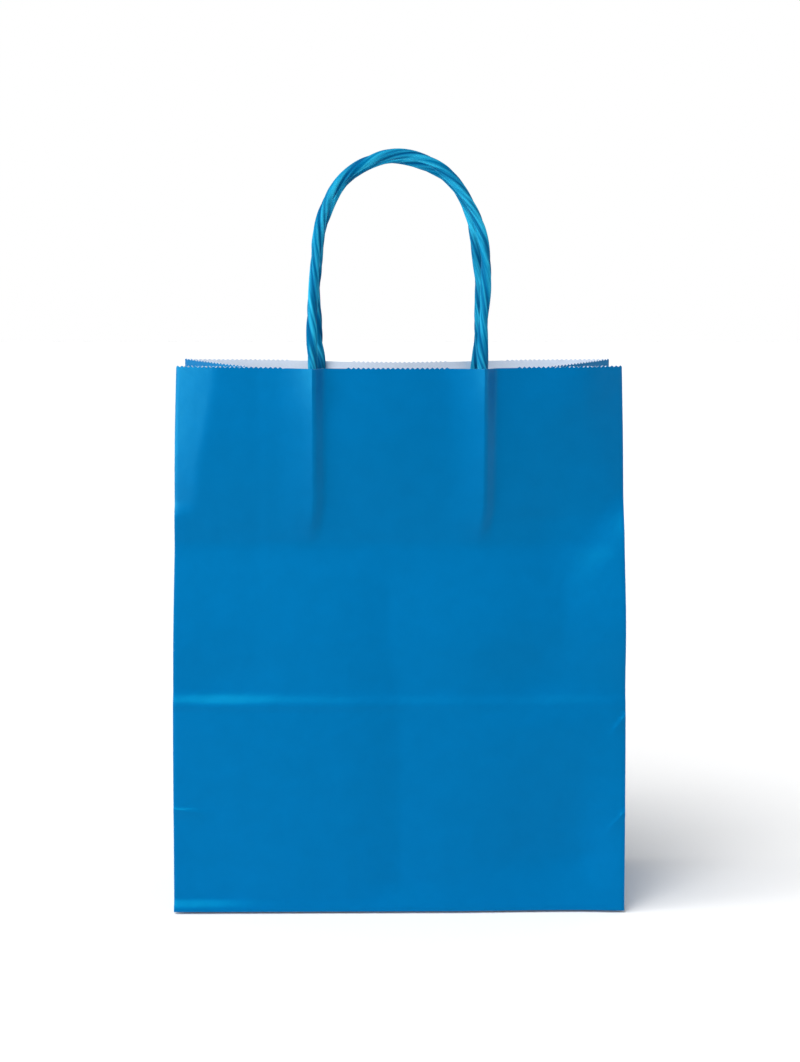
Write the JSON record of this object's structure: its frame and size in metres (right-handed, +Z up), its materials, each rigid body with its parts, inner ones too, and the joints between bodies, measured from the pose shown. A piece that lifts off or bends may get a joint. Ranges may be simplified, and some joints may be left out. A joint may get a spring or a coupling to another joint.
{
  "type": "paper carrier bag",
  "caption": "Small folded paper carrier bag standing open, with in-folded side gussets, a square glued bottom, a toothed mouth and twisted paper cord handles under inner patches.",
  "frame": {"origin": "centre of the outer box on the surface that the bag stands on", "axes": "+Z up towards the handles, +X across the front wall to its right as seen from the front, +Y from the front wall to the back wall"},
  "size_m": [0.18, 0.086, 0.3024],
  "materials": {
    "blue_paper": "matt, printed",
    "blue_cord": "matt, twisted",
    "white_paper": "matt, unprinted"
  },
  "bodies": {
    "root": {"bag_body": "blue_paper", "front_handle": "blue_cord", "back_handle": "blue_cord", "front_handle_patch": "white_paper", "back_handle_patch": "white_paper"}
  },
  "joints": []
}
